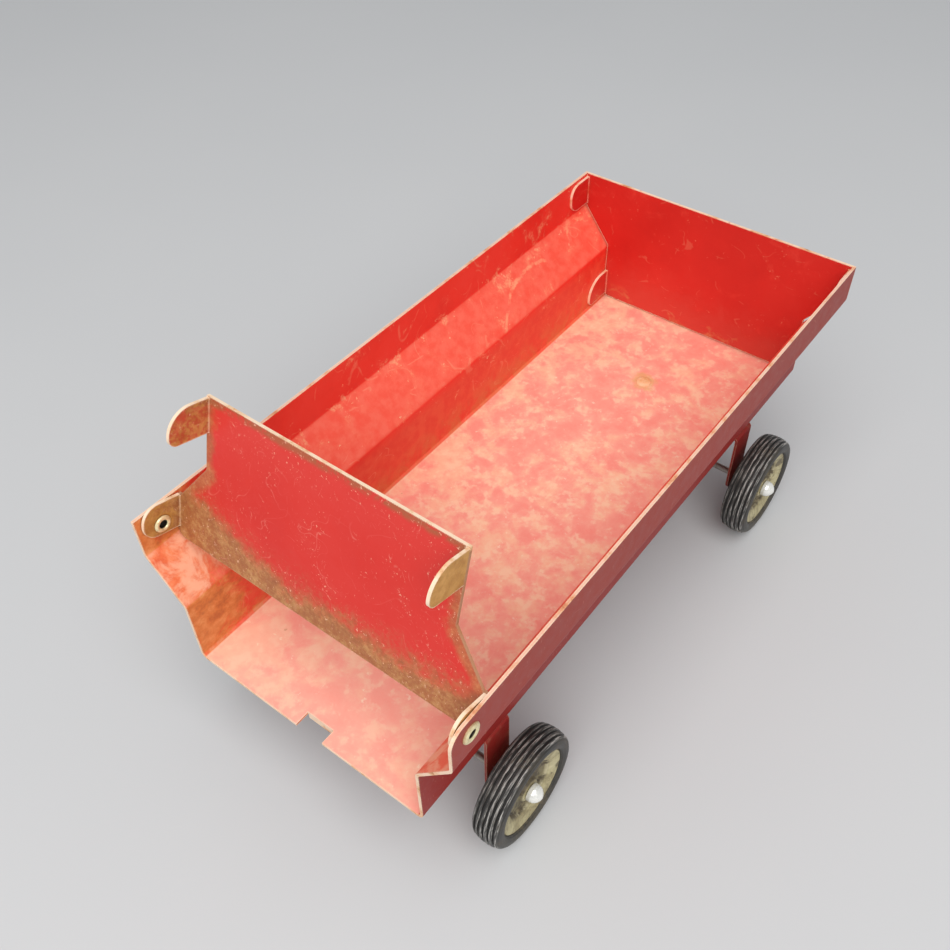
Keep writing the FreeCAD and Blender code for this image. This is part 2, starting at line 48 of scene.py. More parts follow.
# ------------------------------------------------------------ node helpers
class Mat:
    """A small wrapper that makes node trees short to write."""

    def __init__(self, name):
        self.m = bpy.data.materials.new(name)
        self.m.use_nodes = True
        self.t = self.m.node_tree
        self.t.nodes.clear()
        self.out = self.t.nodes.new("ShaderNodeOutputMaterial")
        self.bsdf = self.t.nodes.new("ShaderNodeBsdfPrincipled")
        self.t.links.new(self.bsdf.outputs[0], self.out.inputs[0])
        self.co = self.t.nodes.new("ShaderNodeTexCoord")

    def put(self, sock, val):
        if isinstance(val, bpy.types.NodeSocket):
            self.t.links.new(val, sock)
        elif val is not None:
            if sock.type == "RGBA" and len(val) == 3:
                val = (*val, 1.0)
            sock.default_value = val

    def node(self, kind, **props):
        n = self.t.nodes.new(kind)
        for k, v in props.items():
            setattr(n, k, v)
        return n

    def math(self, op, a, b=None, c=None, clamp=False):
        n = self.node("ShaderNodeMath", operation=op, use_clamp=clamp)
        for i, v in enumerate((a, b, c)):
            if v is not None:
                self.put(n.inputs[i], v)
        return n.outputs[0]

    def add(self, a, b):
        return self.math("ADD", a, b)

    def sub(self, a, b):
        return self.math("SUBTRACT", a, b)

    def mul(self, a, b):
        return self.math("MULTIPLY", a, b)

    def step(self, v, a, b, smooth=True):
        """0 at a, 1 at b (b may be below a), clamped."""
        n = self.node("ShaderNodeMapRange", interpolation_type="SMOOTHSTEP" if smooth else "LINEAR", clamp=True)
        flip = b < a
        self.put(n.inputs[0], v)
        n.inputs[1].default_value, n.inputs[2].default_value = (b, a) if flip else (a, b)
        n.inputs[3].default_value, n.inputs[4].default_value = (1.0, 0.0) if flip else (0.0, 1.0)
        return n.outputs[0]

    def vmath(self, op, a, b=None, scale=None):
        n = self.node("ShaderNodeVectorMath", operation=op)
        self.put(n.inputs[0], a)
        if b is not None:
            self.put(n.inputs[1], b)
        if scale is not None:
            n.inputs["Scale"].default_value = scale
        return n.outputs["Value"] if op in ("DOT_PRODUCT", "LENGTH", "DISTANCE") else n.outputs[0]

    def mm(self, origin=(0, 0, 0), rot=(0, 0, 0), stretch=(1, 1, 1)):
        """Object coordinates in millimetres from an origin, optionally turned and stretched."""
        v = self.vmath("SUBTRACT", self.co.outputs["Object"], tuple(origin))
        v = self.vmath("SCALE", v, scale=1000.0)
        if rot != (0, 0, 0):
            mp = self.node("ShaderNodeMapping", vector_type="POINT")
            self.put(mp.inputs[0], v)
            mp.inputs["Rotation"].default_value = rot
            v = mp.outputs[0]
        if stretch != (1, 1, 1):
            v = self.vmath("MULTIPLY", v, stretch)
        return v

    def noise(self, vec, scale, detail=4.0, rough=0.55, distort=0.0, seed=0.0, colour=False):
        n = self.node("ShaderNodeTexNoise", noise_dimensions="4D")
        self.put(n.inputs["Vector"], vec)
        n.inputs["W"].default_value = seed
        n.inputs["Scale"].default_value = scale
        n.inputs["Detail"].default_value = detail
        n.inputs["Roughness"].default_value = rough
        n.inputs["Distortion"].default_value = distort
        return n.outputs["Color" if colour else "Fac"]

    def cells(self, vec, scale, feature="F1", rand=1.0):
        n = self.node("ShaderNodeTexVoronoi", feature=feature)
        self.put(n.inputs["Vector"], vec)
        n.inputs["Scale"].default_value = scale
        n.inputs["Randomness"].default_value = rand
        return n

    def xyz(self, v):
        n = self.node("ShaderNodeSeparateXYZ")
        self.put(n.inputs[0], v)
        return n.outputs[0], n.outputs[1], n.outputs[2]

    def mix(self, fac, a, b, blend="MIX"):
        n = self.node("ShaderNodeMix", data_type="RGBA", blend_type=blend, clamp_factor=True)
        self.put(n.inputs[0], fac)
        self.put(n.inputs[6], a)
        self.put(n.inputs[7], b)
        return n.outputs[2]

    def ramp(self, fac, stops):
        n = self.node("ShaderNodeValToRGB")
        els = n.color_ramp.elements
        while len(els) < len(stops):
            els.new(0.5)
        for e, (p, c) in zip(els, stops):
            e.position = p
            e.color = (*c, 1.0) if len(c) == 3 else c
        self.put(n.inputs[0], fac)
        return n.outputs[0]

    def bump(self, height, strength, distance, normal=None):
        n = self.node("ShaderNodeBump")
        n.inputs["Strength"].default_value = strength
        n.inputs["Distance"].default_value = distance
        self.put(n.inputs["Height"], height)
        if normal is not None:
            self.put(n.inputs["Normal"], normal)
        return n.outputs[0]

    def edges(self, radius, low, high):
        """1 along edges within about the radius, 0 on open faces."""
        b = self.node("ShaderNodeBevel", samples=4)
        b.inputs["Radius"].default_value = radius
        g = self.node("ShaderNodeNewGeometry")
        d = self.vmath("DOT_PRODUCT", b.outputs[0], g.outputs["Normal"])
        return self.step(self.sub(1.0, d), low, high)

    def hollow(self, distance, low=0.75, high=0.35):
        """1 in tight inside corners, where shade falls, 0 in the open; the mask for painted corner shade."""
        a = self.node("ShaderNodeAmbientOcclusion", samples=4, only_local=False)
        a.inputs["Distance"].default_value = distance
        return self.step(a.outputs["AO"], low, high)

    def specks(self, vec, per_mm, size, share, seed):
        """Small irregular dots: `share` of the cells carry one."""
        off = self.vmath("ADD", vec, (seed * 13.7, seed * 7.1, seed * 3.3))
        warp = self.noise(off, per_mm * 2.5, 2, 0.6, seed=seed, colour=True)
        w = self.vmath("ADD", off, self.vmath("SCALE", warp, scale=0.35 / per_mm))
        c = self.cells(w, per_mm)
        pick = self.xyz(c.outputs["Color"])[0]
        big = self.mul(pick, size / share)
        return self.mul(self.math("LESS_THAN", pick, share), self.step(self.sub(c.outputs["Distance"], big), 0.02, -0.04))

    def scratches(self, origin, angles, fine, long, cut, seed, plane="yz"):
        """Thin, nearly straight broken lines at several angles in a plane."""
        total = None
        for i, a in enumerate(angles):
            rot = {"yz": (a, 0, 0), "xy": (0, 0, a), "xz": (0, a, 0)}[plane]
            st = {"yz": (1, fine, long), "xy": (fine, long, 1), "xz": (fine, 1, long)}[plane]
            v = self.mm(origin, rot, st)
            bend = self.noise(self.mm(origin), 0.04, 1, 0.5, seed=seed + i * 3.1, colour=True)
            v = self.vmath("ADD", v, self.vmath("SCALE", bend, scale=fine * 8.0))
            s = self.noise(v, 1.0, 1.0, 0.4, seed=seed + i * 1.7)
            s = self.step(s, cut, cut + 0.03)
            total = s if total is None else self.math("MAXIMUM", total, s)
        return total

    def arcs(self, vec, scale, width, seed, keep=0.55):
        """Fine curved scuff lines, broken up."""
        total = None
        for i in range(2):
            n = self.noise(vec, scale * (1 + 0.6 * i), 1.5, 0.45, distort=0.3, seed=seed + i * 5.3)
            line = self.step(self.math("ABSOLUTE", self.sub(n, 0.5)), width, width * 0.3)
            gap = self.step(self.noise(vec, scale * 3.1, 3, 0.6, seed=seed + 40 + i), keep, keep + 0.06)
            line = self.mul(line, gap)
            total = line if total is None else self.math("MAXIMUM", total, line)
        return total

    def flakes(self, vec, scale, cut, seed):
        """Ragged little chips."""
        n = self.noise(vec, scale, 7, 0.74, seed=seed)
        return self.step(n, cut, cut + 0.025)

    def done(self, colour, rough, normal=None, metallic=0.0, **fixed):
        self.put(self.bsdf.inputs["Base Color"], colour)
        self.put(self.bsdf.inputs["Roughness"], rough)
        self.put(self.bsdf.inputs["Metallic"], metallic)
        if normal is not None:
            self.put(self.bsdf.inputs["Normal"], normal)
        for k, v in fixed.items():
            self.bsdf.inputs[k.replace("_", " ")].default_value = v
        return self.m


RED = (0.70, 0.027, 0.020)
DEEP = (0.50, 0.016, 0.012)
CORAL = (0.80, 0.085, 0.055)
SALMON = (0.90, 0.36, 0.25)
PINK = (0.88, 0.26, 0.20)
CREAM = (0.92, 0.55, 0.32)
PALE = (0.95, 0.74, 0.55)
OCHRE = (0.55, 0.22, 0.060)
CORNER_SHADE_BROWN = (0.24, 0.075, 0.030)
RUST = (0.36, 0.10, 0.030)
STEEL = (0.60, 0.50, 0.38)


def red_paint(name):
    """Old red enamel: the wrapper, coordinates from the box's middle and shared patterns."""
    m = Mat(name)
    P = m.mm((MID, 0, 0))
    big = m.noise(P, 0.035, 5, 0.55, seed=1.3)
    small = m.noise(P, 0.30, 6, 0.62, seed=4.1)
    fine = m.noise(P, 1.6, 4, 0.6, seed=2.2)
    edge = m.edges(0.0006, 0.012, 0.11)
    corner_shade = m.hollow(0.004)
    return m, P, big, small, fine, edge, corner_shade


def finish_paint(m, P, col, small, fine, edge, corner_shade, edge_amount=0.95, corner_shade_amount=0.6, rough=0.40, keep=0.30, rim=None, dull=None):
    """Adds edge wear, painted shade in the inside corners, gloss breakup and bump, then closes the material."""
    chip = m.noise(P, 0.30, 5, 0.70, seed=9.4)
    e = m.mul(edge, m.step(chip, keep, keep + 0.12))
    e = m.mul(e, edge_amount)
    if rim is not None:
        e = m.math("MAXIMUM", e, m.mul(rim, m.step(chip, keep - 0.05, keep + 0.12)))
    ecol = m.ramp(m.noise(P, 0.16, 5, 0.65, seed=6.6), [(0.30, (0.46, 0.19, 0.065)), (0.40, (0.86, 0.52, 0.28)), (0.50, (1.0, 0.78, 0.56)), (0.80, (1.0, 0.86, 0.68))])
    if dull is not None:
        ecol = m.mix(m.mul(dull, 0.85), ecol, (0.42, 0.165, 0.070))
    # painted shade: inside corners darkened towards brown by the occlusion mask
    col = m.mix(m.mul(corner_shade, corner_shade_amount), col, CORNER_SHADE_BROWN)
    col = m.mix(e, col, ecol)
    r = m.add(m.mul(small, 0.34), rough - 0.10)
    r = m.add(r, m.mul(e, 0.10))
    nrm = m.bump(small, 0.12, 0.0004)
    nrm = m.bump(fine, 0.10, 0.00012, nrm)
    nrm = m.bump(m.sub(1.0, e), 0.5, 0.00010, nrm)
    return m.done(col, r, nrm, Specular_IOR_Level=0.32)


# ------------------------------------------------------------ box body
def box_material():
    m, P, big, small, fine, edge, corner_shade = red_paint("box_paint")
    x, y, z = m.xyz(P)
    nx, ny, nz = m.xyz(m.co.outputs["Normal"])
    up = m.step(nz, 0.80, 0.97)
    inside_floor = m.mul(up, m.mul(m.step(z, 46.0, 44.0), m.step(z, 42.5, 42.9)))
    # inside faces look towards the middle, outside faces away from it
    ins = m.step(m.mul(ny, m.math("SIGN", y)), 0.10, -0.10)
    mid = m.noise(P, 0.11, 6, 0.68, distort=0.6, seed=12.0)
    left = m.add(0.30, m.mul(m.step(y, 5.0, 20.0), 0.70))
    # inside: the upright flange is the purest red
    red = m.ramp(big, [(0.30, (0.78, 0.030, 0.020)), (0.5, (0.89, 0.043, 0.027)), (0.72, (0.91, 0.060, 0.042))])
    red = m.mix(m.mul(m.step(mid, 0.50, 0.66), 0.35), red, (0.88, 0.085, 0.055))
    # lower wall: warmer, grimy towards the floor and the rear
    wall = m.step(z, 67.0, 61.0)
    wcol = m.mix(m.step(small, 0.36, 0.64), (0.80, 0.060, 0.034), (0.84, 0.115, 0.058))
    red = m.mix(m.mul(wall, 0.85), red, wcol)
    # inside slope: bright coral
    slope = m.mul(ins, m.mul(m.step(nz, 0.20, 0.5), m.step(nz, 0.86, 0.74)))
    coral = m.mix(m.step(small, 0.36, 0.66), (0.92, 0.110, 0.066), (0.94, 0.165, 0.105))
    coral = m.mix(m.mul(m.step(mid, 0.46, 0.62), 0.45), coral, (0.95, 0.22, 0.13))
    # outside: dull maroon under a film of dust, cleaner below the flange; the dark maroon is also painted shade, a
    # darker copy of the inside red for the side turned from the light
    outside_dust_and_shade = m.mix(m.step(small, 0.36, 0.70), (0.30, 0.026, 0.018), (0.36, 0.034, 0.022))
    film = m.mul(m.step(z, 77.0, 82.0), m.add(0.45, m.mul(small, 0.6)))
    outside_dust_and_shade = m.mix(film, outside_dust_and_shade, (0.37, 0.038, 0.022))
    outside_dust_and_shade = m.mix(m.mul(m.step(z, 66.0, 60.0), 0.8), outside_dust_and_shade, (0.33, 0.014, 0.010))
    outside_dust_and_shade = m.mix(m.mul(m.flakes(P, 0.5, 0.64, 51.0), 0.6), outside_dust_and_shade, (0.52, 0.24, 0.14))
    out_scr = m.scratches((MID, 0, 0), (0.10, -0.25, 1.2), 2.6, 0.09, 0.73, 17.0, "xz")
    outside_dust_and_shade = m.mix(m.mul(out_scr, 0.35), outside_dust_and_shade, (0.62, 0.26, 0.18))
    # inside red, outside the darker maroon of dust and painted shade
    col = m.mix(ins, outside_dust_and_shade, red)
    col = m.mix(slope, col, coral)
    # scuffs and chips on the inside walls, thickest on the upper bend
    bendband = m.mul(m.step(z, 74.0, 78.5), m.step(z, 84.5, 81.0))
    scuff = m.mul(m.step(m.add(mid, m.mul(bendband, 0.05)), 0.58, 0.68), m.step(fine, 0.36, 0.60))
    col = m.mix(m.mul(m.mul(scuff, ins), 0.65), col, (0.96, 0.50, 0.26))
    chips = m.mul(m.flakes(P, 0.55, 0.615, 15.0), m.step(m.add(mid, m.mul(bendband, 0.08)), 0.47, 0.60))
    col = m.mix(m.mul(m.mul(chips, ins), 0.75), col, (0.96, 0.66, 0.38))
    specks = m.mul(m.flakes(P, 1.2, 0.665, 18.0), m.step(mid, 0.36, 0.50))
    col = m.mix(m.mul(m.mul(specks, ins), 0.60), col, (0.97, 0.60, 0.34))
    # one long rub mark on the left slope
    ax, az_ = m.sub(x, 66.0), m.sub(m.add(z, m.mul(m.sub(small, 0.5), 3.0)), 44.0)
    da = m.math("ABSOLUTE", m.sub(m.math("SQRT", m.add(m.mul(ax, ax), m.mul(az_, az_))), 33.0))
    rub = m.mul(m.mul(m.step(da, 0.8, 0.2), m.step(mid, 0.42, 0.56)), m.mul(m.step(x, 38.0, 44.0), m.step(x, 84.0, 76.0)))
    rub = m.mul(m.mul(rub, slope), m.step(y, 0.0, 5.0))
    col = m.mix(m.mul(rub, 0.38), col, (0.97, 0.62, 0.33))
    arc = m.arcs(P, 0.040, 0.006, 3.0, 0.52)
    col = m.mix(m.mul(m.mul(arc, ins), 0.22), col, (0.95, 0.48, 0.28))
    # rear end of the walls: ochre rust creeping forward, mostly on the left wall
    rear = m.step(x, -62.0, -108.0)
    rust_n = m.add(m.mul(rear, 0.80), m.mul(m.sub(mid, 0.5), 1.7))
    rust = m.mul(m.mul(m.step(rust_n, 0.36, 0.70), ins), left)
    rcol = m.ramp(small, [(0.32, (0.50, 0.155, 0.040)), (0.50, (0.72, 0.25, 0.060)), (0.70, (0.90, 0.42, 0.15))])
    col = m.mix(m.mul(m.mul(rust, m.sub(1.0, m.mul(slope, 0.45))), 0.88), col, rcol)
    pinkish = m.mul(m.mul(slope, m.step(x, -70.0, -98.0)), m.step(mid, 0.44, 0.58))
    col = m.mix(m.mul(pinkish, 0.75), col, (0.95, 0.47, 0.30))
    lowdirt = m.mul(m.mul(m.step(z, 58.0, 43.0), ins), m.step(mid, 0.36, 0.58))
    col = m.mix(m.mul(lowdirt, 0.55), col, (0.66, 0.23, 0.075))
    # floor: faded to salmon with cream and pink clouds
    cloud = m.noise(P, 0.040, 4, 0.55, distort=0.6, seed=20.0)
    cloud2 = m.noise(P, 0.130, 6, 0.62, distort=0.3, seed=23.0)
    cloud3 = m.noise(P, 0.34, 5, 0.62, seed=26.0)
    fl = m.mix(m.step(cloud2, 0.34, 0.60), (0.96, 0.350, 0.270), (0.975, 0.430, 0.322))
    tend = m.add(cloud2, m.mul(m.sub(cloud, 0.5), 0.50))
    side = m.step(m.add(y, m.mul(m.sub(cloud, 0.5), 40.0)), 12.0, 38.0)
    tend = m.add(tend, m.mul(side, 0.085))
    fl = m.mix(m.mul(m.step(tend, 0.45, 0.66), 0.72), fl, (0.98, 0.590, 0.370))
    fl = m.mix(m.mul(m.step(m.add(cloud3, m.mul(m.sub(cloud2, 0.5), 0.5)), 0.50, 0.66), 0.62), fl, (0.99, 0.68, 0.46))
    fl = m.mix(m.mul(m.step(cloud3, 0.46, 0.32), 0.35), fl, (0.96, 0.325, 0.250))
    fl = m.mix(m.mul(m.mul(m.step(cloud2, 0.46, 0.36), m.step(fine, 0.38, 0.60)), 0.35), fl, (0.96, 0.285, 0.220))
    rearpale = m.mul(m.step(x, -60.0, -100.0), 0.40)
    fl = m.mix(rearpale, fl, (0.965, 0.46, 0.36))
    fl = m.mix(m.mul(m.flakes(P, 0.42, 0.62, 27.0), 0.60), fl, (1.0, 0.78, 0.58))
    fl = m.mix(m.mul(m.specks(P, 0.30, 0.15, 0.05, 5.0), 0.45), fl, (0.56, 0.26, 0.13))
    fl = m.mix(m.mul(m.specks(P, 0.10, 0.10, 0.06, 8.0), 0.9), fl, (1.0, 0.93, 0.84))
    # stain round the centre rivet
    kx, ky = (KING.x - MID) * 1000.0, KING.y * 1000.0
    dx, dy = m.sub(x, kx), m.sub(y, ky)
    dk = m.add(m.math("SQRT", m.add(m.mul(dx, dx), m.mul(dy, dy))), m.mul(m.sub(small, 0.5), 9.0))
    fl = m.mix(m.mul(m.step(dk, 6.0, 2.5), 0.70), fl, (0.74, 0.44, 0.16))
    col = m.mix(inside_floor, col, fl)
    # underside of the floor: dull deep red
    under = m.step(nz, -0.8, -0.97)
    col = m.mix(m.mul(under, 0.9), col, m.mix(small, (0.22, 0.018, 0.014), (0.38, 0.055, 0.040)))
    # bare edge faces: both ends of the sheet and, more broken, the rims
    rim = m.math("MAXIMUM", m.mul(m.step(m.math("ABSOLUTE", nx), 0.3, 0.6), 0.85),
                 m.mul(m.mul(m.step(nz, 0.5, 0.8), m.step(z, 84.0, 86.0)), 0.62))
    return finish_paint(m, P, col, small, fine, edge, corner_shade, corner_shade_amount=0.30, keep=0.22, rim=rim)


def panel_material():
    m, P, big, small, fine, edge, corner_shade = red_paint("panel_paint")
    x, y, z = m.xyz(P)
    nx, ny, nz = m.xyz(m.co.outputs["Normal"])
    mid = m.noise(P, 0.09, 6, 0.66, distort=0.5, seed=42.0)
    red = m.ramp(big, [(0.30, (0.60, 0.019, 0.014)), (0.52, (0.67, 0.025, 0.018)), (0.75, (0.70, 0.036, 0.026))])
    low = m.step(m.add(z, m.mul(m.sub(mid, 0.5), 34.0)), 66.0, 42.0)
    red = m.mix(m.mul(low, 0.60), red, (0.64, 0.080, 0.055))
    red = m.mix(m.mul(m.step(mid, 0.56, 0.70), 0.35), red, CORAL)
    red = m.mix(m.mul(m.arcs(P, 0.05, 0.006, 5.0), 0.12), red, CREAM)
    red = m.mix(m.mul(m.mul(m.flakes(P, 0.60, 0.63, 44.0), m.step(mid, 0.45, 0.60)), 0.55), red, CREAM)
    red = m.mix(m.mul(m.mul(m.flakes(P, 1.4, 0.66, 46.0), m.step(mid, 0.40, 0.55)), 0.50), red, CREAM)
    spot = m.mul(m.step(z, 52.0, 44.0), m.step(mid, 0.52, 0.62))
    red = m.mix(m.mul(spot, 0.65), red, (0.66, 0.30, 0.12))
    # outside face: the same darker dull red as the box's outside, partly dust and partly painted shade for the side
    # turned from the light
    outside = m.step(nx, 0.5, 0.9)
    red = m.mix(m.mul(outside, 0.55), red, (0.38, 0.055, 0.038))
    plate = m.step(x, HALF * 1000.0 - 0.98, HALF * 1000.0 - 0.93)
    rim = m.mix(plate, m.step(m.math("ABSOLUTE", ny), 0.6, 0.4), m.step(m.math("ABSOLUTE", nx), 0.6, 0.4))
    return finish_paint(m, P, red, small, fine, edge, corner_shade, corner_shade_amount=0.35, rim=m.mul(m.xyz(rim)[0], 0.80))


def gate_material():
    m, P, big, small, fine, edge, corner_shade = red_paint("gate_paint")
    rel = m.vmath("SCALE", m.vmath("SUBTRACT", m.co.outputs["Object"], tuple(PIVOT)), scale=1000.0)
    v = m.vmath("DOT_PRODUCT", rel, tuple(GATE_UP))
    y = m.xyz(rel)[1]
    ay = m.math("ABSOLUTE", y)
    n = m.co.outputs["Normal"]
    ny = m.xyz(n)[1]
    front = m.step(m.vmath("DOT_PRODUCT", n, (math.cos(LEAN), 0.0, -math.sin(LEAN))), 0.3, 0.7)
    mot = m.noise(P, 0.13, 6, 0.68, distort=0.5, seed=31.0)
    grit = m.noise(P, 0.9, 5, 0.70, seed=37.0)
    red = m.ramp(big, [(0.28, (0.68, 0.026, 0.018)), (0.5, (0.72, 0.032, 0.022)), (0.75, (0.73, 0.043, 0.031))])
    red = m.mix(m.mul(m.step(v, 22.0, 42.0), 0.35), red, (0.76, 0.062, 0.050))
    red = m.mix(m.mul(m.step(mot, 0.56, 0.74), 0.22), red, (0.80, 0.13, 0.09))
    # tan dirt along the hinge edge, higher at the left end; painted shade in the same colours down both sides
    reach = m.add(0.0, m.mul(m.step(y, 12.0, 50.0), 9.0))
    reach = m.add(reach, m.mul(m.step(y, -20.0, -46.0), 3.0))
    rag = m.add(m.mul(m.sub(mot, 0.5), 20.0), m.mul(m.sub(small, 0.5), 9.0))
    far = m.sub(m.add(v, rag), reach)
    band = m.step(m.add(far, m.mul(m.sub(grit, 0.5), 10.0)), 3.5, -4.0)
    halo = m.step(far, 9.0, -1.0)
    shade = m.step(m.add(m.sub(ay, m.mul(m.step(v, 19.0, 6.0), 10.0)), m.mul(m.sub(mot, 0.5), 12.0)), 36.5, 40.5)
    dirt_and_shade_col = m.ramp(m.mix(0.5, small, grit), [(0.34, (0.30, 0.105, 0.036)), (0.48, (0.40, 0.165, 0.055)), (0.58, (0.53, 0.275, 0.100)), (0.72, (0.72, 0.44, 0.19))])
    col = m.mix(m.mul(m.mul(halo, m.step(grit, 0.40, 0.62)), 0.55), red, (0.52, 0.16, 0.07))
    # painted shade down both sides of the gate, in the dirt colours
    col = m.mix(m.mul(shade, 0.60), col, dirt_and_shade_col)
    col = m.mix(m.mul(band, 0.88), col, dirt_and_shade_col)
    # grime and specks just under the free edge
    topband = m.step(m.add(v, m.mul(m.sub(small, 0.5), 3.0)), 39.6, 41.6)
    col = m.mix(m.mul(m.mul(topband, m.step(mot, 0.38, 0.52)), 0.70), col, (0.34, 0.13, 0.050))
    arc = m.arcs(P, 0.055, 0.0050, 7.0, 0.48)
    scr = m.scratches(tuple(PIVOT), (0.35, -0.12, 0.9), 3.8, 0.13, 0.735, 7.0, "yz")
    zone = m.add(0.25, m.mul(m.step(mot, 0.45, 0.62), 0.75))
    col = m.mix(m.mul(m.mul(arc, zone), 0.24), col, (0.92, 0.36, 0.28))
    col = m.mix(m.mul(m.mul(scr, zone), 0.50), col, (0.94, 0.46, 0.34))
    where = m.math("MAXIMUM", m.step(v, 31.0, 41.0), m.step(mot, 0.50, 0.60))
    where = m.math("MAXIMUM", where, m.mul(halo, 0.8))
    where = m.math("MAXIMUM", where, m.mul(m.step(y, -28.0, -38.0), 0.9))
    col = m.mix(m.mul(m.mul(m.flakes(P, 1.0, 0.60, 33.0), where), 0.80), col, (0.96, 0.58, 0.40))
    col = m.mix(m.mul(m.mul(m.flakes(P, 0.55, 0.655, 36.0), m.add(0.25, m.mul(where, 0.75))), 0.80), col, (0.97, 0.62, 0.40))
    col = m.mix(m.mul(m.specks(P, 0.16, 0.09, 0.10, 9.0), 0.85), col, (0.98, 0.72, 0.56))
    # folded tabs and ears: ochre where the paint has gone
    fold = m.step(m.math("ABSOLUTE", ny), 0.6, 0.9)
    tab = m.mul(fold, m.step(v, 27.0, 30.0))
    right = m.step(y, 0.0, -5.0)
    ocol = m.ramp(small, [(0.34, (0.44, 0.19, 0.040)), (0.50, (0.58, 0.30, 0.075)), (0.70, (0.76, 0.42, 0.13))])
    worn = m.step(mot, 0.40, 0.54)
    col = m.mix(m.mul(tab, m.math("MAXIMUM", m.mul(right, 0.92), m.mul(m.mul(worn, m.step(grit, 0.42, 0.58)), 0.75))), col, ocol)
    ear = m.mul(fold, m.step(v, 14.0, 10.0))
    col = m.mix(m.mul(ear, m.mul(worn, 0.88)), col, ocol)
    col = m.mix(m.mul(front, 0.20), col, DEEP)
    thick = (math.cos(LEAN), 0.0, -math.sin(LEAN))
    w = m.vmath("DOT_PRODUCT", rel, thick)
    nw = m.math("ABSOLUTE", m.vmath("DOT_PRODUCT", n, thick))
    plate = m.step(w, 6.08, 6.16)
    rim = m.mix(plate, m.step(m.math("ABSOLUTE", ny), 0.6, 0.4), m.step(nw, 0.6, 0.4))
    return finish_paint(m, P, col, small, fine, edge, corner_shade, corner_shade_amount=0.45, keep=0.18, rim=m.mul(m.xyz(rim)[0], 0.92),
                        dull=m.mul(plate, m.step(v, 41.9, 41.2)))


def chassis_material():
    m, P, big, small, fine, edge, corner_shade = red_paint("chassis_paint")
    red = m.ramp(big, [(0.30, (0.20, 0.009, 0.007)), (0.55, (0.30, 0.013, 0.009)), (0.78, (0.36, 0.024, 0.016))])
    red = m.mix(m.mul(m.step(small, 0.52, 0.70), 0.45), red, (0.30, 0.12, 0.07))
    red = m.mix(m.mul(m.specks(P, 0.5, 0.25, 0.15, 3.0), 0.6), red, RUST)
    return finish_paint(m, P, red, small, fine, edge, corner_shade, edge_amount=0.35, corner_shade_amount=0.7, rough=0.5)


def tyre_material(name, centre):
    m = Mat(name)
    P = m.mm(centre)
    x, y, z = m.xyz(P)
    r = m.math("SQRT", m.add(m.mul(x, x), m.mul(z, z)))
    n1 = m.noise(P, 0.16, 5, 0.62, seed=2.0)
    n2 = m.noise(P, 1.3, 5, 0.62, seed=5.0)
    # painted highlight streaks that follow the ribs, partly dust: long round the wheel, fine across it
    n3 = m.noise(m.mm(centre, stretch=(0.22, 3.4, 0.22)), 1.0, 4, 0.62, seed=8.0)
    n4 = m.noise(m.mm(centre, stretch=(0.10, 2.0, 0.10)), 1.0, 2, 0.5, seed=11.0)
    col = m.mix(n1, (0.018, 0.017, 0.016), (0.060, 0.056, 0.050))
    rr = m.add(r, m.mul(m.mul(y, y), 0.045))
    tread = m.step(rr, 18.78, 19.05)
    rib_highlight_streak = m.mul(m.step(n3, 0.44, 0.62), m.step(n4, 0.36, 0.58))
    # painted highlight along the rib crowns, partly dust; next line fainter grey streaks of painted sheen and dust
    col = m.mix(m.mul(m.mul(tread, rib_highlight_streak), 0.92), col, (0.58, 0.56, 0.52))
    col = m.mix(m.mul(m.mul(m.step(n3, 0.56, 0.70), m.step(n1, 0.40, 0.60)), 0.55), col, (0.24, 0.22, 0.19))
    dust = m.mul(m.step(n1, 0.50, 0.70), m.step(n2, 0.42, 0.62))
    col = m.mix(m.mul(dust, 0.50), col, (0.22, 0.18, 0.12))
    # painted shade in the grooves below the rib crowns
    groove_shade = m.mul(m.step(rr, 18.88, 18.68), m.step(r, 17.6, 17.9))
    col = m.mix(m.mul(groove_shade, 0.75), col, (0.009, 0.008, 0.008))
    low = m.step(m.add(z, m.mul(m.sub(n1, 0.5), 14.0)), -9.0, -17.0)
    col = m.mix(m.mul(m.mul(low, m.step(n2, 0.35, 0.60)), 0.55), col, (0.25, 0.195, 0.105))
    wall = m.step(m.math("ABSOLUTE", y), 4.0, 4.6)
    col = m.mix(m.mul(wall, 0.45), col, (0.014, 0.012, 0.010))
    col = m.mix(m.mul(m.mul(wall, m.step(n1, 0.42, 0.62)), 0.45), col, (0.075, 0.060, 0.038))
    nrm = m.bump(n2, 0.30, 0.0002)
    nrm = m.bump(n3, 0.30, 0.0002, nrm)
    rough = m.add(0.30, m.mul(n1, 0.35))
    return m.done(col, rough, nrm, Specular_IOR_Level=0.55)


